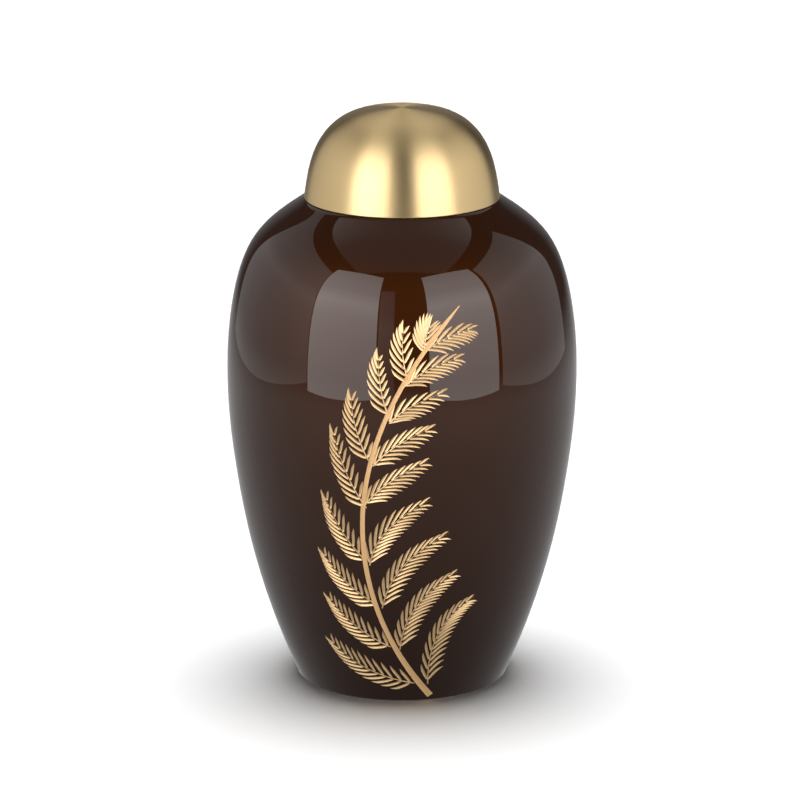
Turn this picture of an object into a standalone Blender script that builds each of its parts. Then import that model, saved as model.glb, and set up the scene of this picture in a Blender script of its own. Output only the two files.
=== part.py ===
"""Cremation urn: a spun brass vessel in brown lacquer, with a fern frond cut into
its front, and a domed lid of brushed brass that lifts off.

Metres, +Z up. The urn stands on the origin and its frond faces -Y.
"""

import math

import bmesh
import bpy
import numpy as np
from mathutils import Vector
from mathutils.geometry import delaunay_2d_cdt

MM = 0.001

# Outlines are the control points of a clamped cubic B-spline, as radius and height
# in mm. The vessel comes out 170 mm across at its widest.
VESSEL_OUTLINE = [(51, 0), (70, 42), (83.5, 111), (85.5, 151), (84.5, 179.5)]
VESSEL_OUTLINE += [(76, 221.5), (56, 233), (47.6, 239)]
LID_OUTLINE = [(47.3, 239.3), (46, 249), (43.5, 263.5), (30, 280.5), (13, 283), (0, 283)]

# The other sizes of the vessel and the lid, in mm.
WALL = 1.5
BASE_THICKNESS = 2.0
FOOT_ROUNDING = 0.8
NECK_RADIUS = 43.5
NECK_TOP = 249.0
RIM_ROUNDING = 0.4

# How finely the turned surfaces are faceted.
COLUMNS = 48
OUTLINE_STEPS = 300
OUTER_ROWS = 20
INNER_ROWS = 9
LID_ROWS = 9
LID_INNER_ROWS = 5

# The frond, in mm: first the distance round the vessel to the right of its front
# line, then the height. Its stem is one cubic Bezier curve.
STEM = [(13.8, 2.6), (-42, 80), (-19.3, 155.5), (27.5, 203.5)]
STEM_STATIONS = 12
STEM_HALF_WIDTHS = ([0.0, 0.15, 0.8, 0.93, 1.0], [1.65, 1.2, 1.0, 0.8, 0.0])

# One line for each pinna, from the top of the frond down: the three points of its
# rib, a quadratic Bezier curve, the number of leaflets on its lower and upper side,
# and the length of the longest upper one.
LEFT_PINNAE = [
    ((10.5, 183), (10.5, 190), (13.5, 196), 8, 5, 10),
    ((3.5, 168), (-1.5, 181.5), (1, 195.5), 8, 6, 8.5),
    ((-6.5, 153), (-12, 167.5), (-11, 183), 8, 8, 6),
    ((-16, 130.5), (-24, 145.5), (-24.5, 164), 9, 8, 10),
    ((-17, 106), (-30, 124.5), (-34, 147), 11, 9, 9),
    ((-17, 78), (-31.5, 92), (-39, 113), 12, 9, 9.5),
    ((-11.5, 54.5), (-29.5, 65), (-41, 82.5), 12, 10, 9.5),
    ((-5.5, 31.5), (-25.5, 41.5), (-38.5, 58.5), 12, 10, 9.5),
    ((6, 10.5), (-21.5, 16), (-39, 34.5), 12, 11, 11),
]
RIGHT_PINNAE = [
    ((11, 184), (22.5, 191.5), (34.5, 192.5), 9, 5, 10.5),
    ((1, 167), (11, 177), (29, 180), 10, 6, 11),
    ((-6, 149), (-1, 157), (22, 164.5), 9, 6, 11),
    ((-14, 127.5), (-4.5, 140), (15.5, 147), 9, 8, 12),
    ((-17.5, 108), (-9, 120.5), (13.5, 131), 11, 8, 11),
    ((-15.5, 76), (-13, 97), (14.5, 111), 14, 9, 13),
    ((-9.5, 53), (-5, 80.5), (24, 93), 14, 11, 12),
    ((-1, 30), (1, 59), (29, 72.5), 16, 11, 11.5),
    ((12.5, 9.5), (12, 47), (37.5, 57), 17, 11, 11),
]
RIB_HALF_WIDTH = 0.35

# Each side of a pinna: the angles between leaflet and rib at the rib's foot and tip,
# the leaflets' width, and how far each turns on its way, in degrees and mm.
LOWER_LEFT = {"angles": (35, 7), "width": 1.75, "turn": -20}
UPPER_LEFT = {"angles": (-41, -25), "width": 1.6, "turn": 7}
LOWER_RIGHT = {"angles": (-44, -28), "width": 1.95, "turn": -25}
UPPER_RIGHT = {"angles": (22, 9), "width": 1.65, "turn": -7}
LOWER_LENGTH = 12.0

# Where along a rib the first and last leaflets stand, how leaflets shorten and
# narrow along it, and where along a leaflet its own width is read.
LEAFLET_SPAN = (0.04, 0.88)
LENGTH_SHARES = ([0.0, 0.3, 0.5, 0.75, 1.0], [0.85, 1.0, 1.0, 0.8, 0.52])
TIP_WIDTH_SHARE = 0.75
LEAFLET_SHAPE = ([0.0, 0.4, 1.0], [0.5, 1.0, 0.0])
CUT_DEPTH = 0.4

# The skin round the frond is one triangulated panel: this many columns each side of
# the front line, above the rows of the foot's edge and up to this height. It is laid
# out flat at this radius, with no grid point nearer to a cut than the clearance.
PANEL_COLUMNS = 6
PANEL_FIRST_ROW = 2
PANEL_TOP = 207.0
PANEL_RADIUS = 75.0
CLEARANCE = 2.0

WELD = 0.001
SHARP_ANGLE = 35


def clear_scene():
    """Remove what a new Blender file holds."""
    for item in list(bpy.data.objects):
        bpy.data.objects.remove(item)


def spline_points(controls, steps):
    """Points along a clamped cubic B-spline, ends included, by de Boor's rule."""
    spans = len(controls) - 3
    knots = [0] * 3 + list(range(spans + 1)) + [spans] * 3
    points = []
    for step in range(steps + 1):
        place = spans * step / steps
        first = min(int(place), spans - 1)
        work = [Vector(control) for control in controls[first:first + 4]]
        for level in range(1, 4):
            for i in range(3, level - 1, -1):
                low = knots[first + i]
                high = knots[first + 4 + i - level]
                work[i] = work[i - 1].lerp(work[i], (place - low) / (high - low))
        points.append(work[3])
    return points


def bezier_point(controls, place):
    """A point on a Bezier curve of any order, by repeated interpolation."""
    work = [Vector(control) for control in controls]
    while len(work) > 1:
        work = [a.lerp(b, place) for a, b in zip(work, work[1:])]
    return work[0]


def bezier_heading(controls, place):
    """The curve's direction there, in radians anticlockwise from the right."""
    slopes = [Vector(b) - Vector(a) for a, b in zip(controls, controls[1:])]
    slope = bezier_point(slopes, place)
    return math.atan2(slope.y, slope.x)


def offset_outline(points, distance):
    """The outline moved inwards by a wall's thickness, square to itself."""
    moved = []
    for i, point in enumerate(points):
        along = points[min(i + 1, len(points) - 1)] - points[max(i - 1, 0)]
        moved.append(point + Vector((-along.y, along.x)).normalized() * distance)
    return moved


def thin_out(points, rows):
    """The given number of rows, evenly chosen from a finely divided outline."""
    last = len(points) - 1
    return [points[round(last * row / rows)] for row in range(rows + 1)]


VESSEL_FINE = spline_points(VESSEL_OUTLINE, OUTLINE_STEPS)
FINE_RADII = [point.x for point in VESSEL_FINE]
FINE_HEIGHTS = [point.y for point in VESSEL_FINE]


def radius_at(height):
    """The vessel's outer radius at a height, in mm."""
    return float(np.interp(height, FINE_HEIGHTS, FINE_RADII))


def on_vessel(angle, height, depth=0.0):
    """A point at an angle round from the front, sunk into the wall by a depth."""
    slope = radius_at(height + 0.5) - radius_at(height - 0.5)
    tilt = math.atan(slope)
    radius = radius_at(height) - depth * math.cos(tilt)
    level = height + depth * math.sin(tilt)
    return Vector((radius * math.sin(angle), -radius * math.cos(angle), level))


def vessel_outer_rows():
    """Outer rows from the foot's flat up to the edge of the lid's seat."""
    reach = radius_at(FOOT_ROUNDING)
    rows = []
    for angle in (0.0, math.pi / 4):
        inward = FOOT_ROUNDING * (1 - math.sin(angle))
        rows.append(Vector((reach - inward, FOOT_ROUNDING * (1 - math.cos(angle)))))
    rows.append(Vector((reach, FOOT_ROUNDING)))
    rows += thin_out(VESSEL_FINE, OUTER_ROWS)[1:]
    return rows


def vessel_inner_rows():
    """From the seat over the neck, then down inside to the floor."""
    seat = VESSEL_OUTLINE[-1][1]
    bore = NECK_RADIUS - WALL
    rows = [(NECK_RADIUS, seat), (NECK_RADIUS, NECK_TOP - RIM_ROUNDING)]
    rows += [(NECK_RADIUS - RIM_ROUNDING, NECK_TOP), (bore, NECK_TOP), (bore, seat - WALL)]
    inner = offset_outline(VESSEL_FINE, WALL)
    inner = [point for point in inner if BASE_THICKNESS + WALL < point.y < seat - WALL]
    rows += reversed(thin_out(inner, INNER_ROWS))
    rows.append((inner[0].x - WALL, BASE_THICKNESS))
    return [Vector(row) for row in rows]


def lid_rows():
    """From the crown down outside, round the rim and up again inside."""
    fine = spline_points(LID_OUTLINE, OUTLINE_STEPS)
    rim_radius, rim_height = LID_OUTLINE[0]
    outer = list(reversed(thin_out(fine, LID_ROWS)))[:-1]
    rim = [(rim_radius, rim_height + RIM_ROUNDING), (rim_radius - RIM_ROUNDING, rim_height)]
    rim.append((rim_radius - WALL, rim_height))
    inner = thin_out(offset_outline(fine, WALL), LID_INNER_ROWS)[1:]
    inner[-1].x = 0.0
    return outer + [Vector(point) for point in rim] + inner


def turn(bm, rows, skip=None):
    """Sweep rows of (radius, height) round the axis; close ends that reach it."""
    rings = []
    for row in rows:
        if row.x < WELD:
            rings.append([bm.verts.new((0, 0, row.y * MM))] * COLUMNS)
            continue
        ring = []
        for column in range(COLUMNS):
            angle = math.tau * column / COLUMNS
            place = (row.x * math.sin(angle), -row.x * math.cos(angle), row.y)
            ring.append(bm.verts.new(Vector(place) * MM))
        rings.append(ring)
    for i, (low, high) in enumerate(zip(rings, rings[1:])):
        for column in range(COLUMNS):
            if skip and skip(i, column):
                continue
            across = (column + 1) % COLUMNS
            corners = [low[column], low[across], high[across], high[column]]
            bm.faces.new(list(dict.fromkeys(corners)))
    return rings


def stroke(points, headings, half_widths):
    """A cut of tapering width: its stations, outline and bounds, in frond mm."""
    left = []
    right = []
    for point, heading, half in zip(points, headings, half_widths):
        side = Vector((-math.sin(heading), math.cos(heading))) * half
        left.append(point + side)
        if half > 0:
            right.append(point - side)
    outline = left + right[::-1]
    low = Vector((min(point.x for point in outline), min(point.y for point in outline)))
    high = Vector((max(point.x for point in outline), max(point.y for point in outline)))
    return {"points": points, "halves": half_widths, "outline": outline, "bounds": (low, high)}


def stem_stroke():
    """The stem, square at its foot and pointed at its tip."""
    places = [i / (STEM_STATIONS - 1) for i in range(STEM_STATIONS)]
    points = [bezier_point(STEM, place) for place in places]
    headings = [bezier_heading(STEM, place) for place in places]
    return stroke(points, headings, list(np.interp(places, *STEM_HALF_WIDTHS)))


def leaflet_stroke(foot, heading, length, width, turn_by):
    """A blade that leaves its rib at a heading and turns evenly towards its tip."""
    places, shares = LEAFLET_SHAPE
    points = [foot]
    headings = [heading - turn_by / 2]
    for start, end in zip(places, places[1:]):
        middle = heading + turn_by * ((start + end) / 2 - 0.5)
        ahead = Vector((math.cos(middle), math.sin(middle))) * (end - start) * length
        points.append(points[-1] + ahead)
        headings.append(heading + turn_by * (end - 0.5))
    return stroke(points, headings, [share * width / 2 for share in shares])


def leaflet_row(rib, side, count, longest):
    """The leaflets along one side of a rib, evenly spaced."""
    strokes = []
    for share in np.linspace(0, 1, count):
        place = float(np.interp(share, (0, 1), LEAFLET_SPAN))
        away = math.radians(float(np.interp(share, (0, 1), side["angles"])))
        heading = bezier_heading(rib, place)
        edge = Vector((-math.sin(heading), math.cos(heading))) * math.copysign(RIB_HALF_WIDTH, away)
        foot = bezier_point(rib, place) + edge
        length = longest * float(np.interp(share, *LENGTH_SHARES))
        width = side["width"] * float(np.interp(share, (0, 1), (1, TIP_WIDTH_SHARE)))
        strokes.append(leaflet_stroke(foot, heading + away, length, width, math.radians(side["turn"])))
    return strokes


def frond_strokes():
    """Every cut of the frond: its stem, then the leaflets along each pinna's rib."""
    strokes = [stem_stroke()]
    for pinnae, lower, upper in (
        (LEFT_PINNAE, LOWER_LEFT, UPPER_LEFT),
        (RIGHT_PINNAE, LOWER_RIGHT, UPPER_RIGHT),
    ):
        for root, aim, tip, lower_count, upper_count, upper_length in pinnae:
            rib = (root, aim, tip)
            strokes += leaflet_row(rib, lower, lower_count, LOWER_LENGTH)
            strokes += leaflet_row(rib, upper, upper_count, upper_length)
    return strokes


def cut_depth(point, strokes):
    """How deep the skin is cut at a point: each stroke is a V along its middle."""
    deepest = 0.0
    for cut in strokes:
        low, high = cut["bounds"]
        if not (low.x < point.x < high.x and low.y < point.y < high.y):
            continue
        for i, (start, end) in enumerate(zip(cut["points"], cut["points"][1:])):
            along = end - start
            share = (point - start).dot(along) / along.length_squared
            if not 0 <= share <= 1:
                continue
            half = cut["halves"][i] * (1 - share) + cut["halves"][i + 1] * share
            away = (point - start - along * share).length
            deepest = max(deepest, CUT_DEPTH * (1 - away / max(half, WELD)))
    return deepest


def panel_border(columns, rows, step):
    """The panel's edge, once round, on the vertices of the turned skin."""
    border = [Vector((column * step, rows[0])) for column in columns]
    border += [Vector((PANEL_COLUMNS * step, row)) for row in rows[1:]]
    border += [Vector((-column * step, rows[-1])) for column in columns][1:]
    border += [Vector((-PANEL_COLUMNS * step, row)) for row in rows[-2:0:-1]]
    return border


def panel_triangles(rows, strokes):
    """Triangulate the flat panel: its border, the cuts, and a grid clear of them."""
    step = math.tau / COLUMNS * PANEL_RADIUS
    columns = range(-PANEL_COLUMNS, PANEL_COLUMNS + 1)
    flat = panel_border(columns, rows, step)
    edges = [(i, (i + 1) % len(flat)) for i in range(len(flat))]
    cuts = []
    cut_points = []
    for cut in strokes:
        first = len(flat)
        marks = cut["outline"] + cut["points"][1:-1]
        placed = [Vector((mark.x / radius_at(mark.y) * PANEL_RADIUS, mark.y)) for mark in marks]
        flat += placed
        cut_points += placed
        cuts.append(list(range(first, first + len(cut["outline"]))))
    for row in rows[1:-1]:
        for column in columns[1:-1]:
            point = Vector((column * step, row))
            if min((point - other).length for other in cut_points) > CLEARANCE:
                flat.append(point)
    return delaunay_2d_cdt(flat, edges, cuts, 0, WELD)


def add_panel(bm, rows, strokes):
    """Lay the triangulated panel on the vessel, its cuts sunk into the wall."""
    flat, _, triangles, _, _, sources = panel_triangles(rows, strokes)
    verts = []
    for point in flat:
        angle = point.x / PANEL_RADIUS
        mark = Vector((angle * radius_at(point.y), point.y))
        verts.append(bm.verts.new(on_vessel(angle, point.y, cut_depth(mark, strokes)) * MM))
    for triangle, source in zip(triangles, sources):
        face = bm.faces.new([verts[i] for i in triangle])
        face.material_index = 1 if source else 0


def add_piece(bm, name, materials):
    """Weld and shade a turned piece, and put it in the scene."""
    bmesh.ops.remove_doubles(bm, verts=bm.verts, dist=WELD * MM)
    bmesh.ops.recalc_face_normals(bm, faces=bm.faces)
    mesh = bpy.data.meshes.new(name)
    bm.to_mesh(mesh)
    bm.free()
    mesh.shade_smooth()
    mesh.set_sharp_from_angle(angle=math.radians(SHARP_ANGLE))
    for material in materials:
        mesh.materials.append(material)
    bpy.context.scene.collection.objects.link(bpy.data.objects.new(name, mesh))


def make_material(name, colour, metallic, roughness, coat):
    """A plain Principled material, its colour in linear values."""
    material = bpy.data.materials.new(name)
    material.use_nodes = True
    shader = material.node_tree.nodes["Principled BSDF"]
    shader.inputs["Base Color"].default_value = (*colour, 1)
    shader.inputs["Metallic"].default_value = metallic
    shader.inputs["Roughness"].default_value = roughness
    shader.inputs["Coat Weight"].default_value = coat
    return material


def make_body(lacquer, brass):
    """The vessel: foot, skin with the frond cut in it, seat, neck and inside."""
    outer = vessel_outer_rows()
    last = next(i for i, row in enumerate(outer) if row.y > PANEL_TOP)

    def in_panel(row, column):
        beside = min(column, COLUMNS - 1 - column)
        return PANEL_FIRST_ROW <= row < last and beside < PANEL_COLUMNS

    bm = bmesh.new()
    rings = turn(bm, outer + vessel_inner_rows(), in_panel)
    bm.faces.new(rings[0])
    bm.faces.new(rings[-1])
    add_panel(bm, [row.y for row in outer[PANEL_FIRST_ROW:last + 1]], frond_strokes())
    add_piece(bm, "urn_body", [lacquer, brass])


def make_lid(brass):
    """The domed lid, hollow, standing on the seat round the neck."""
    bm = bmesh.new()
    turn(bm, lid_rows())
    add_piece(bm, "dome_lid", [brass])


def main():
    clear_scene()
    brown_lacquer = make_material("brown_lacquer", (0.045, 0.02, 0.012), 0.3, 0.25, 1.0)
    cut_brass = make_material("cut_brass", (0.8, 0.6, 0.32), 1.0, 0.3, 0.0)
    brushed_brass = make_material("brushed_brass", (0.78, 0.57, 0.28), 1.0, 0.3, 0.0)
    make_body(brown_lacquer, cut_brass)
    make_lid(brushed_brass)


main()
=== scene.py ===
# %% [markdown]
# # A cremation urn in brown lacquer and brass
#
# The real urn is spun from brass sheet. Its vessel is sprayed with a clear brown
# lacquer and polished, and then an engraver cuts a fern frond through the lacquer, so
# that the bright metal shows. The domed lid has no lacquer to hide it: it is bare
# brass, brushed round and round on the lathe.
#
# This lesson builds that finish around solids that already have the right size. The
# solids come in as a fixed frame, and everything here is measured against them.

import math

import bmesh
import bpy
import numpy as np
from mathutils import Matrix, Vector
from mathutils.geometry import delaunay_2d_cdt


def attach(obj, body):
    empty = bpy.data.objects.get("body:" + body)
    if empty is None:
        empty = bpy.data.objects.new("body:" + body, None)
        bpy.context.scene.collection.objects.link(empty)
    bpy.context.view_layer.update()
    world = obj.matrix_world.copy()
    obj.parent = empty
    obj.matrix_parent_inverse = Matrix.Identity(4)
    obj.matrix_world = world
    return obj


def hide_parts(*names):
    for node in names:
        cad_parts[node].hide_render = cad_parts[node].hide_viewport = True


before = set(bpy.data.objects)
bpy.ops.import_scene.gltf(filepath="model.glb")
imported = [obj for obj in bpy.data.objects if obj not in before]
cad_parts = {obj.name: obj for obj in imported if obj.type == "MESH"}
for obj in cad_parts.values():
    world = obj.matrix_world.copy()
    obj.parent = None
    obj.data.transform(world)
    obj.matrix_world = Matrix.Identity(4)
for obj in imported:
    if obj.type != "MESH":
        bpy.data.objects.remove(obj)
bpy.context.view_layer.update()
MM = 0.001

# %% [markdown]
# ## The two outlines
#
# A spun vessel is fully described by half of its outline. A clamped cubic B-spline
# suits it: the metal flows from foot to shoulder in one smooth sweep, and eight control
# points are enough. They are radius and height in millimetres. The lid has its own
# outline, from its rim to the middle of its crown.

# %% The outlines
VESSEL_OUTLINE = [(51, 0), (70, 42), (83.5, 111), (85.5, 151), (84.5, 179.5)]
VESSEL_OUTLINE += [(76, 221.5), (56, 233), (47.6, 239)]
LID_OUTLINE = [(47.3, 239.3), (46, 249), (43.5, 263.5), (30, 280.5), (13, 283), (0, 283)]
WALL = 1.5
BASE_THICKNESS = 2.0
FOOT_ROUNDING = 0.8
NECK_RADIUS = 43.5
NECK_TOP = 249.0
RIM_ROUNDING = 0.4
FINE_STEPS = 600


def spline_points(controls, steps):
    """Points along a clamped cubic B-spline, ends included, by de Boor's rule."""
    spans = len(controls) - 3
    knots = [0] * 3 + list(range(spans + 1)) + [spans] * 3
    points = []
    for step in range(steps + 1):
        place = spans * step / steps
        first = min(int(place), spans - 1)
        work = [Vector(control) for control in controls[first:first + 4]]
        for level in range(1, 4):
            for i in range(3, level - 1, -1):
                low = knots[first + i]
                high = knots[first + 4 + i - level]
                work[i] = work[i - 1].lerp(work[i], (place - low) / (high - low))
        points.append(work[3])
    return points


VESSEL_FINE = spline_points(VESSEL_OUTLINE, FINE_STEPS)
FINE_RADII = [point.x for point in VESSEL_FINE]
FINE_HEIGHTS = [point.y for point in VESSEL_FINE]


def radius_at(height):
    """The vessel's outer radius at a height, in mm."""
    return np.interp(height, FINE_HEIGHTS, FINE_RADII)


def tilt_at(height):
    """How far the vessel's skin leans outwards there, in radians."""
    return np.arctan(radius_at(height + 0.5) - radius_at(height - 0.5))


# %% [markdown]
# ## One helper for every node
#
# Node trees are long to write by hand. One small function adds a node, sets its
# properties and connects its inputs: a socket is linked, and anything else is stored
# as the input's own value.

# %% The node helper
def add_node(tree, kind, inputs=None, **settings):
    """Add a node with its settings, its linked inputs and its plain values."""
    node = tree.nodes.new(kind)
    for name, value in settings.items():
        setattr(node, name, value)
    for key, value in (inputs or {}).items():
        if isinstance(value, bpy.types.NodeSocket):
            tree.links.new(value, node.inputs[key])
        else:
            node.inputs[key].default_value = value
    return node


def linear(code, alpha=1.0):
    """An sRGB hex colour as the linear values that shaders work in."""
    parts = [int(code[i:i + 2], 16) / 255 for i in (1, 3, 5)]
    return tuple(p / 12.92 if p <= 0.04045 else ((p + 0.055) / 1.055) ** 2.4 for p in parts) + (alpha,)


def new_material(name):
    """An empty material with its output, its main shader and its tree."""
    material = bpy.data.materials.new(name)
    material.use_nodes = True
    tree = material.node_tree
    tree.nodes.clear()
    shader = add_node(tree, "ShaderNodeBsdfPrincipled")
    add_node(tree, "ShaderNodeOutputMaterial", {"Surface": shader.outputs["BSDF"]})
    return material, tree, shader


# %% [markdown]
# ## Brown lacquer over brass
#
# The lacquer is a clear brown varnish, a few hundredths of a millimetre thick, over
# polished metal. Two things reach the eye: a sharp white reflection from the top of
# the varnish, and a deep warm brown from the metal under it. The first is a clear coat
# with the IOR of a hard varnish. The second is metal as well, dyed dark by the varnish
# that the light crosses twice, and softened, because the sheet was only sanded.

# %% Lacquer
LACQUER_BROWN = "#401F09"
LACQUER_COAT_IOR = 1.52


def make_lacquer():
    """Polished brown lacquer on brass."""
    material, tree, shader = new_material("brown_lacquer_on_brass")
    shader.inputs["Base Color"].default_value = linear(LACQUER_BROWN)
    shader.inputs["Metallic"].default_value = 1.0
    shader.inputs["Roughness"].default_value = 0.65
    shader.inputs["Coat Weight"].default_value = 1.0
    shader.inputs["Coat Roughness"].default_value = 0.015
    shader.inputs["Coat IOR"].default_value = LACQUER_COAT_IOR
    return material


lacquer = make_lacquer()
print("material", lacquer.name)

# %% [markdown]
# ## Bright-cut brass
#
# A graver leaves bare metal behind it, much brighter than the lacquer, with hair-fine
# lines along the stroke where the steel edge wasn't perfectly smooth. The strokes carry
# their own UV map in millimetres, along and across, so that the lines follow every one
# of them. A leaflet is one quick cut with a sharp edge, and it glints. The wide stem is
# scraped flat in many passes, which leaves it nearly matt.

# %% Cut brass
CUT_BRASS = "#F5D3A2"
TOOL_LINE_MM = 0.22
LEAFLET_ROUGHNESS = 0.5
STEM_ROUGHNESS = 0.78


def make_cut_brass(name, roughness):
    """Bare brass as the graver leaves it, with lines along each stroke."""
    material, tree, shader = new_material(name)
    place = add_node(tree, "ShaderNodeUVMap", uv_map="stroke")
    stretch = add_node(tree, "ShaderNodeMapping", {"Vector": place.outputs[0], "Scale": (0.25, 1 / TOOL_LINE_MM, 1)})
    lines = add_node(tree, "ShaderNodeTexNoise", {"Vector": stretch.outputs[0], "Scale": 1.0, "Detail": 2.0})
    bump = add_node(tree, "ShaderNodeBump", {"Height": lines.outputs[0], "Strength": 0.5, "Distance": 0.00003})
    tree.links.new(bump.outputs[0], shader.inputs["Normal"])
    shader.inputs["Base Color"].default_value = linear(CUT_BRASS)
    shader.inputs["Metallic"].default_value = 1.0
    shader.inputs["Roughness"].default_value = roughness
    return material


leaflet_brass = make_cut_brass("bright_cut_brass", LEAFLET_ROUGHNESS)
stem_brass = make_cut_brass("scraped_brass", STEM_ROUGHNESS)
print("materials", leaflet_brass.name, stem_brass.name)

# %% [markdown]
# ## Brushed brass
#
# The lid is brushed while it turns, so its scratches are rings. Every ring is a tiny
# ridge round the axis: along it the metal is smooth, and across it the light is spread.
# So each light shows as a band from rim to crown. The shader spreads light along its
# tangent, which runs round, so it is turned by a quarter. The rings are also noise that
# changes fast from crown to rim and slowly round the lid. Real ones are some 0.05 mm
# apart, too fine for the picture, so they are drawn at about a third of a millimetre.

# %% Brushed brass
LID_BRASS = "#EBCE98"
RING_MM = 0.35
RING_LENGTH = 1.6


def make_brushed_brass():
    """Brass brushed in rings round the vertical axis."""
    material, tree, shader = new_material("ring_brushed_brass")
    place = add_node(tree, "ShaderNodeTexCoord").outputs["Object"]
    parts = add_node(tree, "ShaderNodeSeparateXYZ", {0: place})
    level = add_node(tree, "ShaderNodeCombineXYZ", {"X": parts.outputs["X"], "Y": parts.outputs["Y"]})
    radius = add_node(tree, "ShaderNodeVectorMath", {0: level.outputs[0]}, operation="LENGTH")
    around = add_node(tree, "ShaderNodeVectorMath", {0: level.outputs[0]}, operation="NORMALIZE")
    turned = add_node(tree, "ShaderNodeSeparateXYZ", {0: around.outputs[0]})
    fine = 1 / (RING_MM * MM)
    across = add_node(tree, "ShaderNodeMath", {0: radius.outputs["Value"], 1: fine}, operation="MULTIPLY")
    height = add_node(tree, "ShaderNodeMath", {0: parts.outputs["Z"], 1: fine}, operation="MULTIPLY")
    side = add_node(tree, "ShaderNodeMath", {0: turned.outputs["X"], 1: RING_LENGTH}, operation="MULTIPLY")
    front = add_node(tree, "ShaderNodeMath", {0: turned.outputs["Y"], 1: RING_LENGTH}, operation="MULTIPLY")
    ring = add_node(
        tree, "ShaderNodeCombineXYZ", {"X": across.outputs[0], "Y": height.outputs[0], "Z": side.outputs[0]}
    )
    lines = add_node(
        tree, "ShaderNodeTexNoise", {"Vector": ring.outputs[0], "W": front.outputs[0], "Scale": 1.0, "Detail": 3.0},
        noise_dimensions="4D",
    )
    bump = add_node(tree, "ShaderNodeBump", {"Height": lines.outputs[0], "Strength": 0.6, "Distance": 0.00002})
    tone = add_node(
        tree, "ShaderNodeMapRange", {"Value": lines.outputs[0], "To Min": 0.32, "To Max": 0.46}
    )
    tangent = add_node(tree, "ShaderNodeTangent", direction_type="RADIAL", axis="Z")
    tree.links.new(bump.outputs[0], shader.inputs["Normal"])
    tree.links.new(tone.outputs[0], shader.inputs["Roughness"])
    tree.links.new(tangent.outputs[0], shader.inputs["Tangent"])
    shader.inputs["Base Color"].default_value = linear(LID_BRASS)
    shader.inputs["Metallic"].default_value = 1.0
    shader.inputs["Anisotropic"].default_value = 0.8
    shader.inputs["Anisotropic Rotation"].default_value = 0.25
    return material


brushed_brass = make_brushed_brass()
print("material", brushed_brass.name)

# %% [markdown]
# ## A lathe made of nodes
#
# Both pieces are turned, so one Geometry Nodes tree serves them both. It takes a line
# of vertices, radius along X and height along Z, and lays a grid whose rows are that
# line's vertices and whose columns go once round. Where the line reaches the axis, the
# whole row falls on one point, and Merge by Distance closes it. A Spin or a Screw
# modifier would turn the same shape, but here the number of columns stays a named input.

# %% The lathe tree
def add_input(tree, name, kind, value=None):
    """A named input of a node group."""
    socket = tree.interface.new_socket(name, in_out="INPUT", socket_type=kind)
    if value is not None:
        socket.default_value = value
    return socket


def make_lathe():
    """Sweep a line of vertices once round the vertical axis."""
    tree = bpy.data.node_groups.new("lathe", "GeometryNodeTree")
    tree.interface.new_socket("Geometry", in_out="OUTPUT", socket_type="NodeSocketGeometry")
    add_input(tree, "Outline", "NodeSocketGeometry")
    add_input(tree, "Columns", "NodeSocketInt", 96)
    add_input(tree, "Material", "NodeSocketMaterial")
    given = add_node(tree, "NodeGroupInput").outputs
    rows = add_node(tree, "GeometryNodeAttributeDomainSize", {0: given["Outline"]}, component="MESH").outputs[0]
    across = add_node(tree, "ShaderNodeMath", {0: given["Columns"], 1: 1}, operation="ADD")
    grid = add_node(tree, "GeometryNodeMeshGrid", {"Vertices X": across.outputs[0], "Vertices Y": rows})
    index = add_node(tree, "GeometryNodeInputIndex").outputs[0]
    share = add_node(tree, "ShaderNodeMath", {0: index, 1: rows}, operation="DIVIDE")
    column = add_node(tree, "ShaderNodeMath", {0: share.outputs[0]}, operation="FLOOR")
    row = add_node(tree, "ShaderNodeMath", {0: index, 1: rows}, operation="MODULO")
    place = add_node(tree, "GeometryNodeInputPosition").outputs[0]
    outline = add_node(
        tree, "GeometryNodeSampleIndex", {"Geometry": given["Outline"], "Value": place, "Index": row.outputs[0]},
        data_type="FLOAT_VECTOR",
    )
    turn = add_node(tree, "ShaderNodeMath", {0: column.outputs[0], 1: math.tau}, operation="MULTIPLY")
    angle = add_node(tree, "ShaderNodeMath", {0: turn.outputs[0], 1: given["Columns"]}, operation="DIVIDE")
    swung = add_node(
        tree, "ShaderNodeVectorRotate", {"Vector": outline.outputs[0], "Angle": angle.outputs[0]},
        rotation_type="Z_AXIS",
    )
    shaped = add_node(tree, "GeometryNodeSetPosition", {"Geometry": grid.outputs[0], "Position": swung.outputs[0]})
    merged = add_node(tree, "GeometryNodeMergeByDistance", {"Geometry": shaped.outputs[0], "Distance": 0.000001})
    real = add_node(tree, "GeometryNodeRealizeInstances", {0: merged.outputs[0]})
    dressed = add_node(
        tree, "GeometryNodeSetMaterial", {"Geometry": real.outputs[0], "Material": given["Material"]}
    )
    add_node(tree, "NodeGroupOutput", {0: dressed.outputs[0]})
    return tree


lathe = make_lathe()
print("tree", lathe.name, len(lathe.nodes), "nodes")

# %% [markdown]
# A modifier's inputs go by their identifiers, not by their names, so one more helper
# looks them up. It then evaluates the object, keeps the plain mesh and removes the
# modifier.

# %% From tree to mesh
def run_tree(piece, tree, values):
    """Put a tree on an object, set its inputs, and keep the mesh that it makes."""
    modifier = piece.modifiers.new(tree.name, "NODES")
    modifier.node_group = tree
    for item in tree.interface.items_tree:
        if item.item_type == "SOCKET" and item.in_out == "INPUT" and item.name in values:
            modifier[item.identifier] = values[item.name]
    bpy.context.view_layer.update()
    evaluated = piece.evaluated_get(bpy.context.evaluated_depsgraph_get())
    mesh = bpy.data.meshes.new_from_object(evaluated)
    piece.modifiers.remove(modifier)
    return mesh


def new_piece(name, mesh):
    """An object in the scene that shows a mesh."""
    piece = bpy.data.objects.new(name, mesh)
    bpy.context.scene.collection.objects.link(piece)
    return piece


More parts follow.
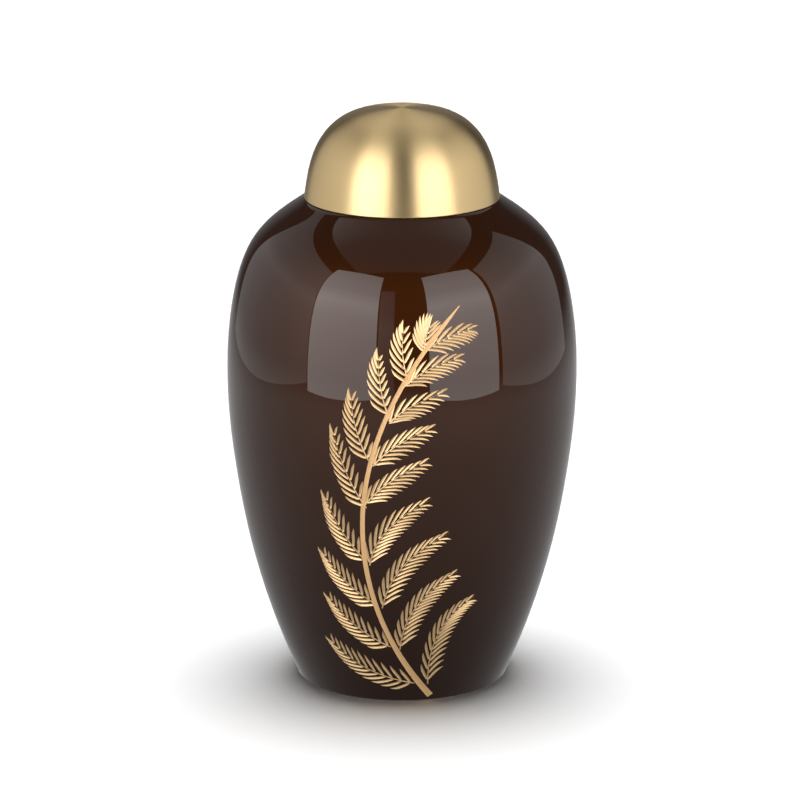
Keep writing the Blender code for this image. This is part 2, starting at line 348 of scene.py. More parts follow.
def turned_mesh(name, rows, columns, material):
    """Turn rows of (radius, height) in mm on the lathe, with its faces outwards."""
    line = bpy.data.meshes.new(name + "_outline")
    spots = [(0, -row[0] * MM, row[1] * MM) for row in rows]
    line.from_pydata(spots, [(i, i + 1) for i in range(len(rows) - 1)], [])
    guide = new_piece(name + "_outline", line)
    mesh = run_tree(guide, lathe, {"Columns": columns, "Material": material})
    bpy.data.objects.remove(guide)
    mesh.materials.clear()
    mesh.materials.append(material)
    bm = bmesh.new()
    bm.from_mesh(mesh)
    bmesh.ops.recalc_face_normals(bm, faces=bm.faces)
    bm.to_mesh(mesh)
    bm.free()
    mesh.name = name
    return mesh


# %% [markdown]
# ## The lid
#
# The dome is thin sheet, so it has an outside and an inside, and its lower edge is
# rounded over. It stands on the flat seat round the neck with a hair's gap.

# %% The domed lid
LID_ROWS = 72
LID_COLUMNS = 192
RIM_STEPS = 5
SHARP_ANGLE = 35


def offset_outline(points, distance):
    """The outline moved inwards by a wall's thickness, square to itself."""
    moved = []
    for i, point in enumerate(points):
        along = points[min(i + 1, len(points) - 1)] - points[max(i - 1, 0)]
        moved.append(point + Vector((-along.y, along.x)).normalized() * distance)
    return moved


def thin_out(points, rows):
    """The given number of rows, evenly chosen from a finely divided outline."""
    last = len(points) - 1
    return [points[round(last * row / rows)] for row in range(rows + 1)]


def rounded_edge(corner_radius, height, rounding, steps):
    """A quarter circle from an upright outer side round to a flat underside."""
    rows = []
    for step in range(steps + 1):
        angle = math.pi / 2 * step / steps
        inward = rounding * (1 - math.cos(angle))
        rows.append((corner_radius - inward, height + rounding * (1 - math.sin(angle))))
    return rows


def lid_outline():
    """From the crown down outside, round the rim and up again inside."""
    fine = spline_points(LID_OUTLINE, FINE_STEPS)
    rim_radius, rim_height = LID_OUTLINE[0]
    outer = [tuple(point) for point in reversed(thin_out(fine, LID_ROWS))]
    outer = [row for row in outer if row[1] > rim_height + RIM_ROUNDING]
    edge = rounded_edge(rim_radius, rim_height, RIM_ROUNDING, RIM_STEPS)
    inner = [tuple(point) for point in thin_out(offset_outline(fine, WALL), LID_ROWS // 2)]
    inner[-1] = (0.0, inner[-1][1])
    return outer + edge + [(rim_radius - WALL, rim_height)] + inner[1:]


def make_lid():
    """The brushed dome, in place on the vessel."""
    mesh = turned_mesh("dome_lid_brushed", lid_outline(), LID_COLUMNS, brushed_brass)
    mesh.shade_smooth()
    mesh.set_sharp_from_angle(angle=math.radians(SHARP_ANGLE))
    return new_piece("dome_lid_brushed", mesh)


lid = make_lid()
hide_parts("dome_lid")
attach(lid, "root")
print("lid", len(lid.data.polygons), "faces")

# %% [markdown]
# ## The frond's plan
#
# The frond is drawn flat first, as an engraver would pounce it on the vessel: across is
# the distance round the skin to the right of the front line, up is the height. A stem
# sweeps through it, eighteen pinnae branch off, and each pinna carries two rows of
# leaflets on a thin rib. Each line below is one pinna: the three points of its rib, the
# number of leaflets on its lower and upper side, and the length of the longest upper one.
# The leaflets are narrower here than in the solids, so that the gaps between them show.

# %% The frond's plan
STEM = [(13.8, 2.6), (-42, 80), (-19.3, 155.5), (27.5, 203.5)]
LEFT_PINNAE = [
    ((10.5, 183), (10.5, 190), (13.5, 196), 8, 5, 10),
    ((3.5, 168), (-1.5, 181.5), (1, 195.5), 8, 6, 8.5),
    ((-6.5, 153), (-12, 167.5), (-11, 183), 8, 8, 6),
    ((-16, 130.5), (-24, 145.5), (-24.5, 164), 9, 8, 10),
    ((-17, 106), (-30, 124.5), (-34, 147), 11, 9, 9),
    ((-17, 78), (-31.5, 92), (-39, 113), 12, 9, 9.5),
    ((-11.5, 54.5), (-29.5, 65), (-41, 82.5), 12, 10, 9.5),
    ((-5.5, 31.5), (-25.5, 41.5), (-38.5, 58.5), 12, 10, 9.5),
    ((6, 10.5), (-21.5, 16), (-39, 34.5), 12, 11, 11),
]
RIGHT_PINNAE = [
    ((11, 184), (22.5, 191.5), (34.5, 192.5), 9, 5, 10.5),
    ((1, 167), (11, 177), (29, 180), 10, 6, 11),
    ((-6, 149), (-1, 157), (22, 164.5), 9, 6, 11),
    ((-14, 127.5), (-4.5, 140), (15.5, 147), 9, 8, 12),
    ((-17.5, 108), (-9, 120.5), (13.5, 131), 11, 8, 11),
    ((-15.5, 76), (-13, 97), (14.5, 111), 14, 9, 13),
    ((-9.5, 53), (-5, 80.5), (24, 93), 14, 11, 12),
    ((-1, 30), (1, 59), (29, 72.5), 16, 11, 11.5),
    ((12.5, 9.5), (12, 47), (37.5, 57), 17, 11, 11),
]
RIB_HALF_WIDTH = 0.35
LOWER_LENGTH = 12.0

# Each side of a pinna: the angles between leaflet and rib at the rib's foot and tip,
# the leaflets' width, how far each turns on its way, and which way its tip is cut.
LOWER_LEFT = {"angles": (35, 7), "width": 1.5, "turn": -20, "tip": -1}
UPPER_LEFT = {"angles": (-41, -25), "width": 1.45, "turn": 7, "tip": -1}
LOWER_RIGHT = {"angles": (-44, -28), "width": 1.4, "turn": -25, "tip": -1}
UPPER_RIGHT = {"angles": (22, 9), "width": 1.45, "turn": -7, "tip": -1}

# %% [markdown]
# ## A row of leaflets
#
# A row is one rule repeated, which is what Geometry Nodes are for. Points stand evenly
# along the rib, each point knows its heading, length and width, and a small flat grid is
# put on every point. After Realize Instances the grid's own coordinates say how far along
# and across a leaflet each vertex is, so one formula bends them all: a leaflet turns
# evenly from root to tip, which makes its middle an arc of a circle.

# %% The leaflet tree
LEAFLET_SPAN = (0.04, 0.88)
LENGTH_SHARES = ((0.0, 0.85), (0.3, 1.0), (0.5, 1.0), (0.75, 0.8), (1.0, 0.52))
HALF_SHAPE = ((0.0, 0.62), (0.12, 0.85), (0.35, 1.0), (0.68, 0.98), (0.85, 0.6), (1.0, 0.0))
TIP_SHAPE = ((0.0, 0.0), (0.7, 0.0), (0.85, 0.3), (1.0, 0.75))
TIP_WIDTH_SHARE = 0.75
LEAFLET_STATIONS = 9


def add_curve(tree, value, points):
    """A Float Curve through the given points, with straight runs between them."""
    node = add_node(tree, "ShaderNodeFloatCurve", {"Value": value})
    curve = node.mapping.curves[0]
    for place, level in points[1:-1]:
        curve.points.new(place, level)
    for point, (place, level) in zip(curve.points, points):
        point.location = (place, level)
        point.handle_type = "VECTOR"
    node.mapping.update()
    return node.outputs[0]


def make_leaflet_row():
    """Leaflets along one side of a rib, flat, in metres on the plan."""
    tree = bpy.data.node_groups.new("leaflet_row", "GeometryNodeTree")
    tree.interface.new_socket("Geometry", in_out="OUTPUT", socket_type="NodeSocketGeometry")
    for name in ("Root", "Aim", "Tip"):
        add_input(tree, name, "NodeSocketVector")
    add_input(tree, "Count", "NodeSocketInt", 10)
    for name in ("Foot Angle", "Tip Angle", "Longest", "Width", "Turn", "Tip Cut", "Rib Edge"):
        add_input(tree, name, "NodeSocketFloat")
    add_input(tree, "Material", "NodeSocketMaterial")
    given = add_node(tree, "NodeGroupInput").outputs

    def maths(operation, *values):
        return add_node(tree, "ShaderNodeMath", dict(enumerate(values)), operation=operation).outputs[0]

    def vector(operation, *values):
        return add_node(tree, "ShaderNodeVectorMath", dict(enumerate(values)), operation=operation).outputs[0]

    def blend(start, end, share):
        grown = add_node(
            tree, "ShaderNodeVectorMath", {0: vector("SUBTRACT", end, start), "Scale": share}, operation="SCALE"
        )
        return vector("ADD", start, grown.outputs[0])

    def across(heading, reach):
        aside = add_node(
            tree, "ShaderNodeCombineXYZ", {"X": maths("MULTIPLY", maths("SINE", heading), -1.0),
                                           "Y": maths("COSINE", heading)},
        )
        return add_node(
            tree, "ShaderNodeVectorMath", {0: aside.outputs[0], "Scale": reach}, operation="SCALE"
        ).outputs[0]

    last = maths("SUBTRACT", given["Count"], 1.0)
    share = maths("DIVIDE", add_node(tree, "GeometryNodeInputIndex").outputs[0], last)
    place = maths("MULTIPLY_ADD", share, LEAFLET_SPAN[1] - LEAFLET_SPAN[0], LEAFLET_SPAN[0])
    low = blend(given["Root"], given["Aim"], place)
    high = blend(given["Aim"], given["Tip"], place)
    ahead = add_node(tree, "ShaderNodeSeparateXYZ", {0: vector("SUBTRACT", high, low)}).outputs
    rib_heading = maths("ARCTAN2", ahead["Y"], ahead["X"])
    away = maths("MULTIPLY_ADD", maths("SUBTRACT", given["Tip Angle"], given["Foot Angle"]), share, given["Foot Angle"])
    edge = maths("MULTIPLY", maths("SIGN", away), given["Rib Edge"])
    foot = vector("ADD", blend(low, high, place), across(rib_heading, edge))
    length = maths("MULTIPLY", given["Longest"], add_curve(tree, share, LENGTH_SHARES))
    narrowed = maths("MULTIPLY_ADD", share, TIP_WIDTH_SHARE - 1.0, 1.0)
    stored = {
        "heading": ("FLOAT", maths("ADD", rib_heading, away)),
        "length": ("FLOAT", length),
        "half": ("FLOAT", maths("MULTIPLY", maths("MULTIPLY", given["Width"], narrowed), 0.5)),
        "foot": ("FLOAT_VECTOR", foot),
    }
    points = add_node(tree, "GeometryNodePoints", {"Count": given["Count"]}).outputs[0]
    for name, (kind, value) in stored.items():
        points = add_node(
            tree, "GeometryNodeStoreNamedAttribute", {"Geometry": points, "Name": name, "Value": value},
            data_type=kind, domain="POINT",
        ).outputs[0]
    blade = add_node(
        tree, "GeometryNodeMeshGrid", {"Size X": 1.0, "Size Y": 2.0, "Vertices X": LEAFLET_STATIONS, "Vertices Y": 3}
    )
    own = add_node(
        tree, "GeometryNodeStoreNamedAttribute",
        {"Geometry": blade.outputs[0], "Name": "own", "Value": add_node(tree, "GeometryNodeInputPosition").outputs[0]},
        data_type="FLOAT_VECTOR", domain="POINT",
    )
    placed = add_node(tree, "GeometryNodeInstanceOnPoints", {"Points": points, "Instance": own.outputs[0]})
    real = add_node(tree, "GeometryNodeRealizeInstances", {0: placed.outputs[0]})

    def named(name, kind):
        node = add_node(tree, "GeometryNodeInputNamedAttribute", {"Name": name}, data_type=kind)
        return node.outputs[0]

    own_place = add_node(tree, "ShaderNodeSeparateXYZ", {0: named("own", "FLOAT_VECTOR")}).outputs
    along = maths("ADD", own_place["X"], 0.5)
    start = maths("MULTIPLY_ADD", given["Turn"], -0.5, named("heading", "FLOAT"))
    heading = maths("MULTIPLY_ADD", given["Turn"], along, start)
    bend = maths("DIVIDE", named("length", "FLOAT"), given["Turn"])
    arc = add_node(
        tree, "ShaderNodeCombineXYZ",
        {"X": maths("MULTIPLY", bend, maths("SUBTRACT", maths("SINE", heading), maths("SINE", start))),
         "Y": maths("MULTIPLY", bend, maths("SUBTRACT", maths("COSINE", start), maths("COSINE", heading)))},
    )
    shift = maths("MULTIPLY", given["Tip Cut"], add_curve(tree, along, TIP_SHAPE))
    reach = maths("MULTIPLY_ADD", own_place["Y"], add_curve(tree, along, HALF_SHAPE), shift)
    aside = across(heading, maths("MULTIPLY", reach, named("half", "FLOAT")))
    spot = vector("ADD", vector("ADD", named("foot", "FLOAT_VECTOR"), arc.outputs[0]), aside)
    bent = add_node(tree, "GeometryNodeSetPosition", {"Geometry": real.outputs[0], "Position": spot})
    dressed = add_node(
        tree, "GeometryNodeSetMaterial", {"Geometry": bent.outputs[0], "Material": given["Material"]}
    )
    add_node(tree, "NodeGroupOutput", {0: dressed.outputs[0]})
    return tree


leaflet_row = make_leaflet_row()
print("tree", leaflet_row.name, len(leaflet_row.nodes), "nodes")

# %% [markdown]
# ## Reading the rows back
#
# The engraver's cut is a groove with sloping walls, so what the vessel needs from each
# leaflet is its edge and the line down its middle. A grid's vertices come row by row, so
# plain counting finds them. Every stroke is kept as an outline, a middle line and a
# direction for its tool lines.

# %% Strokes
def make_stroke(left, middle, right, depth):
    """A groove, in mm on the plan: its edge, its middle line and its greatest depth."""
    outline = right + left[::-1]
    closed = [outline[0]]
    for point in outline[1:]:
        if (point - closed[-1]).length > 0.02:
            closed.append(point)
    ahead = (middle[-1] - middle[0]).normalized()
    return {"outline": closed, "middle": middle[1:-1], "ahead": ahead, "start": middle[0], "depth": depth}


LEAFLET_DEPTH = 0.5
plan_board = new_piece("plan_board", bpy.data.meshes.new("plan_board"))


def leaflet_strokes(rib, side, count, longest):
    """One row of leaflets as strokes."""
    root, aim, tip = [Vector((x, y, 0)) for x, y in rib]
    foot_angle, tip_angle = [math.radians(angle) for angle in side["angles"]]
    mesh = run_tree(plan_board, leaflet_row, {
        "Root": root, "Aim": aim, "Tip": tip, "Count": count, "Foot Angle": foot_angle, "Tip Angle": tip_angle,
        "Longest": float(longest), "Width": side["width"], "Turn": math.radians(side["turn"]),
        "Tip Cut": float(side["tip"]), "Rib Edge": RIB_HALF_WIDTH, "Material": leaflet_brass,
    })
    spots = [vertex.co.to_2d() for vertex in mesh.vertices]
    bpy.data.meshes.remove(mesh)
    strokes = []
    for first in range(0, len(spots), 3 * LEAFLET_STATIONS):
        own = spots[first:first + 3 * LEAFLET_STATIONS]
        strokes.append(make_stroke(own[2::3], own[1::3], own[0::3], LEAFLET_DEPTH))
    return strokes


# %% [markdown]
# The stem and the ribs are single strokes with a changing width. The stem's floor is
# flat: an engraver clears so wide a band with a flat graver.

# %% Stem and ribs
STEM_STATIONS = 60
STEM_HALF_WIDTHS = ([0.0, 0.15, 0.8, 0.95, 1.0], [1.65, 1.2, 1.05, 0.95, 0.2])
STEM_DEPTH = 0.2
RIB_STATIONS = 24
RIB_DEPTH = 0.2


def bezier_point(controls, place):
    """A point on a Bezier curve of any order, by repeated interpolation."""
    work = [Vector(control) for control in controls]
    while len(work) > 1:
        work = [a.lerp(b, place) for a, b in zip(work, work[1:])]
    return work[0]


def path_stroke(controls, stations, half_widths, depth):
    """A stroke along a Bezier curve, its half width read from places and sizes."""
    left, middle, right = [], [], []
    slopes = [Vector(b) - Vector(a) for a, b in zip(controls, controls[1:])]
    for place in np.linspace(0, 1, stations):
        point = bezier_point(controls, place)
        ahead = bezier_point(slopes, place).normalized()
        side = Vector((-ahead.y, ahead.x)) * float(np.interp(place, *half_widths))
        left.append(point + side)
        middle.append(point)
        right.append(point - side)
    return make_stroke(left, middle, right, depth)


def frond_strokes():
    """Every stroke of the frond."""
    strokes = [path_stroke(STEM, STEM_STATIONS, STEM_HALF_WIDTHS, STEM_DEPTH)]
    for pinnae, lower, upper in (
        (LEFT_PINNAE, LOWER_LEFT, UPPER_LEFT),
        (RIGHT_PINNAE, LOWER_RIGHT, UPPER_RIGHT),
    ):
        for root, aim, tip, lower_count, upper_count, upper_length in pinnae:
            rib = (root, aim, tip)
            strokes.append(path_stroke(rib, RIB_STATIONS, ([0, 1], [RIB_HALF_WIDTH, 0]), RIB_DEPTH))
            strokes += leaflet_strokes(rib, lower, lower_count, LOWER_LENGTH)
            strokes += leaflet_strokes(rib, upper, upper_count, upper_length)
    return strokes


strokes = frond_strokes()
bpy.data.objects.remove(plan_board)
print("frond", len(strokes), "strokes")

# %% [markdown]
# ## How deep each point is cut
#
# A graver held at one angle leaves walls of one slope, so a point inside a stroke lies
# as deep as its distance from the nearest edge allows, down to the stroke's floor. Where
# strokes cross, the deeper one counts. The same rule serves leaflets, ribs and stem.

# %% Depth of the cuts
WALL_SLOPE = 0.55


def edge_distance(points, outline):
    """Each point's distance from the outline, positive inside, by its edges in turn."""
    inside = np.zeros(len(points), bool)
    nearest = np.full(len(points), np.inf)
    for start, end in zip(outline, np.roll(outline, -1, axis=0)):
        along = end - start
        share = np.clip(((points - start) @ along) / (along @ along), 0, 1)
        nearest = np.minimum(nearest, np.linalg.norm(points - start - share[:, None] * along, axis=1))
        over = (start[1] > points[:, 1]) != (end[1] > points[:, 1])
        with np.errstate(divide="ignore", invalid="ignore"):
            crossing = start[0] + (points[:, 1] - start[1]) * along[0] / along[1]
        inside ^= over & (points[:, 0] < crossing)
    return np.where(inside, nearest, -nearest)


def cut_depths(points):
    """How deep the frond is cut at each point of the plan, in mm."""
    depths = np.zeros(len(points))
    for stroke in strokes:
        outline = np.array([tuple(point) for point in stroke["outline"]])
        low, high = outline.min(axis=0), outline.max(axis=0)
        near = np.all((points > low) & (points < high), axis=1)
        if near.any():
            reach = np.minimum(edge_distance(points[near], outline) * WALL_SLOPE, stroke["depth"])
            depths[near] = np.maximum(depths[near], reach)
    return depths


# %% [markdown]
# ## The engraved panel
#
# The skin round the frond is laid out flat and triangulated with the strokes' edges
# and middle lines as fixed lines, which a constrained Delaunay triangulation keeps. It
# then goes back round the vessel, each vertex as deep as its cut. A Boolean with 370
# cutters would do the same work in minutes and could fail at any crossing.

# %% Triangulate the panel
COLUMNS = 192
PANEL_COLUMNS = 24
PANEL_BOTTOM = FOOT_ROUNDING
PANEL_TOP = 207.0
PANEL_RADIUS = 75.0
CLEARANCE = 0.7
WELD = 0.001
VESSEL_ROWS = 90


def skin_rows():
    """Heights of the vessel's rows, from the top of its foot's rounding to its seat."""
    return [FOOT_ROUNDING] + [point.y for point in thin_out(VESSEL_FINE, VESSEL_ROWS) if point.y > FOOT_ROUNDING + 0.5]


def to_flat(points):
    """Plan millimetres to the flat panel, where across is an angle at one radius."""
    points = np.asarray([tuple(point) for point in points])
    return np.column_stack((points[:, 0] / radius_at(points[:, 1]) * PANEL_RADIUS, points[:, 1]))


def panel_border(rows, step):
    """The panel's edge, once round, on the vertices of the turned skin."""
    columns = range(-PANEL_COLUMNS, PANEL_COLUMNS + 1)
    border = [(column * step, rows[0]) for column in columns]
    border += [(PANEL_COLUMNS * step, row) for row in rows[1:]]
    border += [(-column * step, rows[-1]) for column in columns][1:]
    border += [(-PANEL_COLUMNS * step, row) for row in rows[-2:0:-1]]
    return border


def panel_triangles(rows):
    """The flat panel: its border, every stroke, and a grid clear of them."""
    step = math.tau / COLUMNS * PANEL_RADIUS
    flat = panel_border(rows, step)
    edges = [(i, (i + 1) % len(flat)) for i in range(len(flat))]
    cuts = []
    marks = []
    for stroke in strokes:
        first = len(flat)
        outline = [tuple(point) for point in to_flat(stroke["outline"])]
        flat += outline
        cuts.append(list(range(first, first + len(outline))))
        middle = [tuple(point) for point in to_flat(stroke["middle"])]
        edges += [(len(flat) + i, len(flat) + i + 1) for i in range(len(middle) - 1)]
        flat += middle
        marks += outline + middle
    marks = np.array(marks)
    for row in rows[1:-1]:
        for column in range(1 - PANEL_COLUMNS, PANEL_COLUMNS):
            point = (column * step, row)
            if np.min(np.sum((marks - point) ** 2, axis=1)) > CLEARANCE ** 2:
                flat.append(point)
    return delaunay_2d_cdt([Vector(point) for point in flat], edges, cuts, 0, WELD / 10)


panel_rows = [row for row in skin_rows() if row <= PANEL_TOP]
flat, _, triangles, _, _, sources = panel_triangles(panel_rows)
print("panel", len(flat), "vertices", len(triangles), "triangles")

# %% [markdown]
# ## The vessel
#
# The rest of the vessel comes off the lathe: foot, skin, seat, neck, and the inside
# down to the floor. The panel's window is opened in the turned skin and the engraved
# panel is welded in. Because both are the same surface, the lacquer gets the true
# surface's normals, and no reflection shows where one ends and the other begins.

# %% The turned vessel
INNER_ROWS = 30


def vessel_outline():
    """From the middle of the underside out, up, over the neck and down inside."""
    reach = radius_at(FOOT_ROUNDING)
    edge = rounded_edge(reach, 0, FOOT_ROUNDING, RIM_STEPS)[::-1]
    outer = [(float(radius_at(row)), row) for row in skin_rows()]
    seat = VESSEL_OUTLINE[-1][1]
    bore = NECK_RADIUS - WALL
    neck = [(NECK_RADIUS, seat), (NECK_RADIUS, NECK_TOP - RIM_ROUNDING), (NECK_RADIUS - RIM_ROUNDING, NECK_TOP)]
    neck += [(bore, NECK_TOP), (bore, seat - WALL)]
    inner = [point for point in offset_outline(VESSEL_FINE, WALL) if BASE_THICKNESS + WALL < point.y < seat - WALL]
    inner = [tuple(point) for point in reversed(thin_out(inner, INNER_ROWS))]
    floor = [(inner[-1][0] - WALL, BASE_THICKNESS), (0.0, BASE_THICKNESS)]
    return [(0.0, 0.0)] + edge[:-1] + outer + neck + inner + floor


def on_vessel(angles, heights, depths):
    """Points round the vessel, sunk into its wall, in metres."""
    tilts = tilt_at(heights)
    radii = radius_at(heights) - depths * np.cos(tilts)
    levels = heights + depths * np.sin(tilts)
    return np.column_stack((radii * np.sin(angles), -radii * np.cos(angles), levels)) * MM


def skin_normals(points):
    """The vessel's true outward normals at points on its skin."""
    tilts = tilt_at(points[:, 2] / MM)
    rounds = np.maximum(np.hypot(points[:, 0], points[:, 1]), WELD * MM)
    level = np.cos(tilts) / rounds
    return np.column_stack((points[:, 0] * level, points[:, 1] * level, -np.sin(tilts)))


def open_window(bm, top):
    """Take the skin's faces out where the panel goes."""
    half = math.tau / COLUMNS * PANEL_COLUMNS
    doomed = []
    for face in bm.faces:
        centre = face.calc_center_median() / MM
        on_skin = abs(math.hypot(centre.x, centre.y) - radius_at(centre.z)) < WALL / 2
        angle = abs(math.atan2(centre.x, -centre.y))
        if on_skin and angle < half and PANEL_BOTTOM < centre.z < top:
            doomed.append(face)
    bmesh.ops.delete(bm, geom=doomed, context="FACES")
    return len(doomed)


def add_panel(bm, uv):
    """Weld the engraved panel into the window."""
    plan = np.array([tuple(point) for point in flat])
    angles = plan[:, 0] / PANEL_RADIUS
    marks = np.column_stack((angles * radius_at(plan[:, 1]), plan[:, 1]))
    places = on_vessel(angles, plan[:, 1], cut_depths(marks))
    verts = [bm.verts.new(place) for place in places]
    for triangle, owners in zip(triangles, sources):
        face = bm.faces.new([verts[i] for i in triangle])
        if owners:
            stroke = strokes[max(owners)]
            face.material_index = 2 if 0 in owners else 1
            for loop, i in zip(face.loops, triangle):
                offset = Vector(marks[i]) - stroke["start"]
                loop[uv].uv = (offset.dot(stroke["ahead"]), offset.cross(stroke["ahead"]))


def make_vessel():
    """The whole vessel, lacquered, with the frond cut into its front."""
    mesh = turned_mesh("urn_body_lacquered", vessel_outline(), COLUMNS, lacquer)
    mesh.materials.append(leaflet_brass)
    mesh.materials.append(stem_brass)
    bm = bmesh.new()
    bm.from_mesh(mesh)
    uv = bm.loops.layers.uv.new("stroke")
    opened = open_window(bm, panel_rows[-1])
    add_panel(bm, uv)
    bmesh.ops.remove_doubles(bm, verts=bm.verts, dist=WELD * MM)
    bmesh.ops.recalc_face_normals(bm, faces=bm.faces)
    holes = sum(1 for edge in bm.edges if len(edge.link_faces) != 2)
    bm.to_mesh(mesh)
    bm.free()
    print("vessel", opened, "faces opened,", len(mesh.polygons), "faces,", holes, "open edges")
    return mesh


vessel_mesh = make_vessel()

# %% Smooth lacquer, crisp cuts
def set_normals(mesh):
    """True normals on the lacquered skin, flat facets in the cuts."""
    mesh.shade_smooth()
    mesh.set_sharp_from_angle(angle=math.radians(SHARP_ANGLE))
    places = np.zeros(len(mesh.vertices) * 3)
    mesh.vertices.foreach_get("co", places)
    places = places.reshape(-1, 3)
    skin = np.abs(np.hypot(places[:, 0], places[:, 1]) / MM - radius_at(places[:, 2] / MM)) < 0.05
    smooth = skin_normals(places)
    normals = np.zeros((len(mesh.loops), 3))
    for polygon in mesh.polygons:
        corners = list(polygon.vertices)
        if polygon.material_index > 0:
            normals[list(polygon.loop_indices)] = polygon.normal
        elif skin[corners].all() and polygon.center.z > FOOT_ROUNDING * MM:
            normals[list(polygon.loop_indices)] = smooth[corners]
    mesh.normals_split_custom_set(normals.tolist())


set_normals(vessel_mesh)
vessel = new_piece("urn_body_lacquered", vessel_mesh)
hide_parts("urn_body")
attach(vessel, "root")
print("triangles", sum(len(polygon.vertices) - 2 for polygon in vessel_mesh.polygons))

# %% [markdown]
# ## The studio
#
# The urn is a mirror, so the studio is half of the picture. Two upright white panels
# stand on each side, the near ones bright and narrow, the far ones dimmer and wider, with
# thin dark gaps between them, and one hangs overhead. Between the near panels, where the
# camera stands, the room is dark, and that gives the warm dark line down the middle.

# %% Floor
FLOOR_WHITE = "#F4F4F4"
FLOOR_REACH = 6.0


def make_floor():
    """A plain pale floor, lit but left out of the polish, which sees a table instead."""
    material, tree, shader = new_material("matt_white_paint")
    shader.inputs["Base Color"].default_value = linear(FLOOR_WHITE)
    shader.inputs["Roughness"].default_value = 0.9
    mesh = bpy.data.meshes.new("floor")
    corners = [(-1, -1), (1, -1), (1, 1), (-1, 1)]
    mesh.from_pydata([(x * FLOOR_REACH, y * FLOOR_REACH, 0) for x, y in corners], [], [(0, 1, 2, 3)])
    mesh.materials.append(material)
    floor = new_piece("floor", mesh)
    floor.visible_glossy = False


make_floor()
print("floor", FLOOR_REACH * 2, "m")

# %% [markdown]
# The panels are given by what the urn sees of them: two azimuths, counted from the
# camera's side towards the right, their height, and how bright they look at each end.
# Lamps stand behind their cloth a little below the middle, so a curve makes each panel
# brightest there. A low dim strip fills part of the dark gap in front, and the panel
# overhead is brighter at its rear. A light's power follows from brightness and area.

# %% Panels
PANEL_DISTANCE = 0.8
PANEL_BASE = -0.01

# Name, azimuth of the left and right ends, head height, brightness at each end.
PANELS = [
    ("near_left", -61, -16, 1.13, 3.5, 2.9),
    ("near_right", 17, 63, 1.13, 3.0, 2.8),
    ("far_left", -142, -62, 1.13, 0.45, 0.95),
    ("far_right", 66, 131, 1.13, 1.05, 0.6),
    ("dim_strip", -15, -5, 0.7, 0.6, 0.45),
]
CLOTH_CURVE = ((0.0, 0.6), (0.2, 0.8), (0.33, 0.95), (0.44, 1.15), (0.58, 0.85), (0.8, 0.75), (1.0, 0.65))
TOP_HEIGHT = 1.3
TOP_SIZE = (1.24, 2.75)
TOP_SETBACK = 0.625
TOP_BRIGHTNESS = 0.6
TOP_CURVE = ((0.0, 0.3), (0.3, 0.4), (0.45, 1.0), (1.0, 1.0))


def add_light(name, width, height, left_level, right_level, upright_curve):
    """A rectangular light whose brightness changes from end to end and with height."""
    light = bpy.data.lights.new(name, "AREA")
    light.shape = "RECTANGLE"
    light.size = width
    light.size_y = height
    light.energy = math.pi * width * height
    light.use_nodes = True
    tree = light.node_tree
    place = add_node(tree, "ShaderNodeNewGeometry").outputs["Parametric"]
    parts = add_node(tree, "ShaderNodeSeparateXYZ", {0: place}).outputs
    level = add_node(tree, "ShaderNodeMapRange", {"Value": parts["X"], "To Min": left_level, "To Max": right_level})
    shade = add_curve(tree, parts["Y"], upright_curve)
    both = add_node(tree, "ShaderNodeMath", {0: level.outputs[0], 1: shade}, operation="MULTIPLY")
    tree.links.new(both.outputs[0], tree.nodes["Emission"].inputs["Strength"])
    lamp = bpy.data.objects.new(name, light)
    lamp.visible_diffuse = False
    bpy.context.scene.collection.objects.link(lamp)
    return lamp


def add_upright_panel(name, left, right, head, left_level, right_level):
    """A panel that stands on the floor and spans two azimuths, in degrees."""
    middle = math.radians(left + right) / 2
    width = 2 * PANEL_DISTANCE * math.tan(math.radians(right - left) / 2)
    lamp = add_light(name, width, head - PANEL_BASE, left_level, right_level, CLOTH_CURVE)
    away = Vector((math.sin(middle), -math.cos(middle), 0))
    lamp.location = away * PANEL_DISTANCE + Vector((0, 0, (PANEL_BASE + head) / 2))
    lamp.rotation_euler = away.to_track_quat("Z", "Y").to_euler()


for panel in PANELS:
    add_upright_panel(*panel)
top = add_light("top", *TOP_SIZE, TOP_BRIGHTNESS, TOP_BRIGHTNESS, TOP_CURVE)
top.location = (0, TOP_SETBACK, TOP_HEIGHT)
print("panels", len(PANELS) + 1)

# %% [markdown]
# The rest of the room is a world that is dark in front and at the sides, paler straight
# behind the urn, and grey below, where the table is. The floor itself gets its light
# from a very soft sun, overhead and a little behind, which the polish doesn't see.

# %% Room and sun
ROOM_DARK = 0.02
ROOM_BACK = 0.2
BACK_START = 0.86
TABLE_START = -0.1
TABLE_EDGE = -0.28
TABLE_NEAR = 0.12
TABLE_FAR = 0.5
SUN_STRENGTH = 4.3
SUN_WIDTH = 50
SUN_TILT = -9


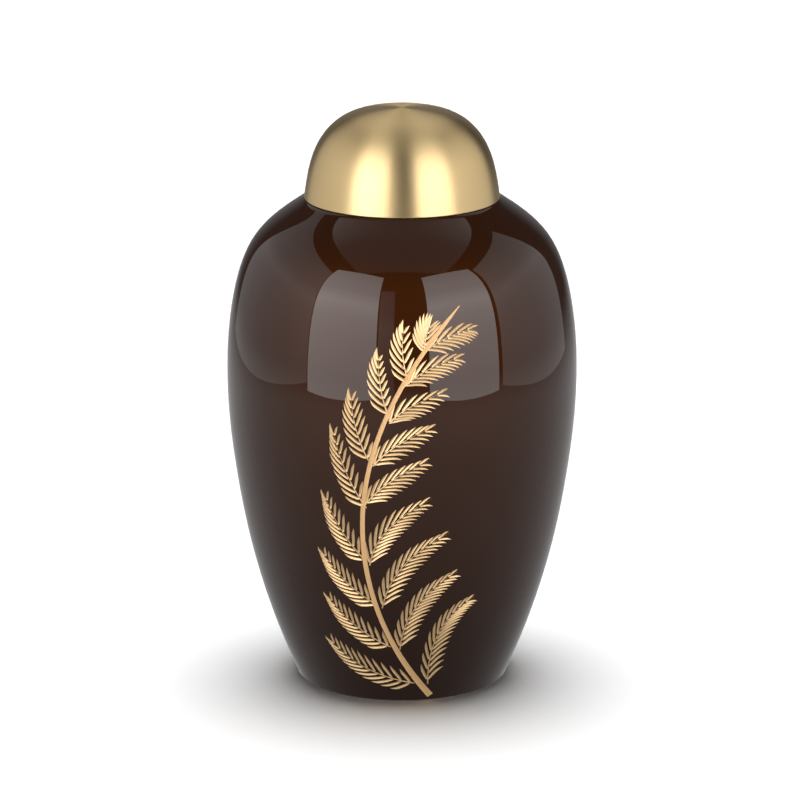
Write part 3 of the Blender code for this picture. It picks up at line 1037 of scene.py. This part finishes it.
def make_room():
    """The room's own brightness, by direction."""
    world = bpy.data.worlds.new("studio_room")
    world.use_nodes = True
    tree = world.node_tree
    way = add_node(tree, "ShaderNodeTexCoord").outputs["Generated"]
    parts = add_node(tree, "ShaderNodeSeparateXYZ", {0: way}).outputs
    behind = add_node(
        tree, "ShaderNodeMapRange",
        {"Value": parts["Y"], "From Min": BACK_START, "From Max": 1.0, "To Min": ROOM_DARK, "To Max": ROOM_BACK},
    )
    table = add_node(
        tree, "ShaderNodeMapRange",
        {"Value": parts["Z"], "From Min": -1.0, "From Max": TABLE_EDGE, "To Min": TABLE_NEAR, "To Max": TABLE_FAR},
    )
    below = add_node(
        tree, "ShaderNodeMapRange", {"Value": parts["Z"], "From Min": TABLE_START, "From Max": TABLE_EDGE},
        interpolation_type="SMOOTHSTEP",
    )
    level = add_node(
        tree, "ShaderNodeMapRange",
        {"Value": below.outputs[0], "To Min": behind.outputs[0], "To Max": table.outputs[0]},
    )
    tree.links.new(level.outputs[0], tree.nodes["Background"].inputs["Strength"])
    tree.nodes["Background"].inputs["Color"].default_value = (1, 1, 1, 1)
    bpy.context.scene.world = world


def make_sun():
    """A wide soft sun for the floor."""
    light = bpy.data.lights.new("soft_sun", "SUN")
    light.energy = SUN_STRENGTH
    light.angle = math.radians(SUN_WIDTH)
    lamp = bpy.data.objects.new("soft_sun", light)
    lamp.rotation_euler = (math.radians(SUN_TILT), 0, 0)
    lamp.visible_glossy = False
    bpy.context.scene.collection.objects.link(lamp)


make_room()
make_sun()
print("world", bpy.context.scene.world.name)

# %% [markdown]
# ## The camera
#
# The photograph was taken with a long lens from a little above: the lid's lower edge
# shows as a flat ellipse. Its focal length and place were worked out from the ellipses
# of the foot and the lid, and from the urn's outline.

# %% Camera
IMAGE_WIDTH = 800
FOCAL_PIXELS = 4861.2
AXIS_SHIFT = -0.00097
CAMERA_PLACE = (AXIS_SHIFT, -2.2873, 0.7655)
CAMERA_AIM = (AXIS_SHIFT, 0.0, 0.1373)


def make_camera():
    """The photograph's camera."""
    data = bpy.data.cameras.new("camera")
    data.sensor_width = 36.0
    data.lens = FOCAL_PIXELS / IMAGE_WIDTH * data.sensor_width
    data.clip_end = 50
    camera = bpy.data.objects.new("camera", data)
    bpy.context.scene.collection.objects.link(camera)
    camera.location = CAMERA_PLACE
    camera.rotation_euler = (Vector(CAMERA_PLACE) - Vector(CAMERA_AIM)).to_track_quat("Z", "Y").to_euler()
    bpy.context.scene.camera = camera


make_camera()
bpy.context.scene.view_settings.view_transform = "Standard"
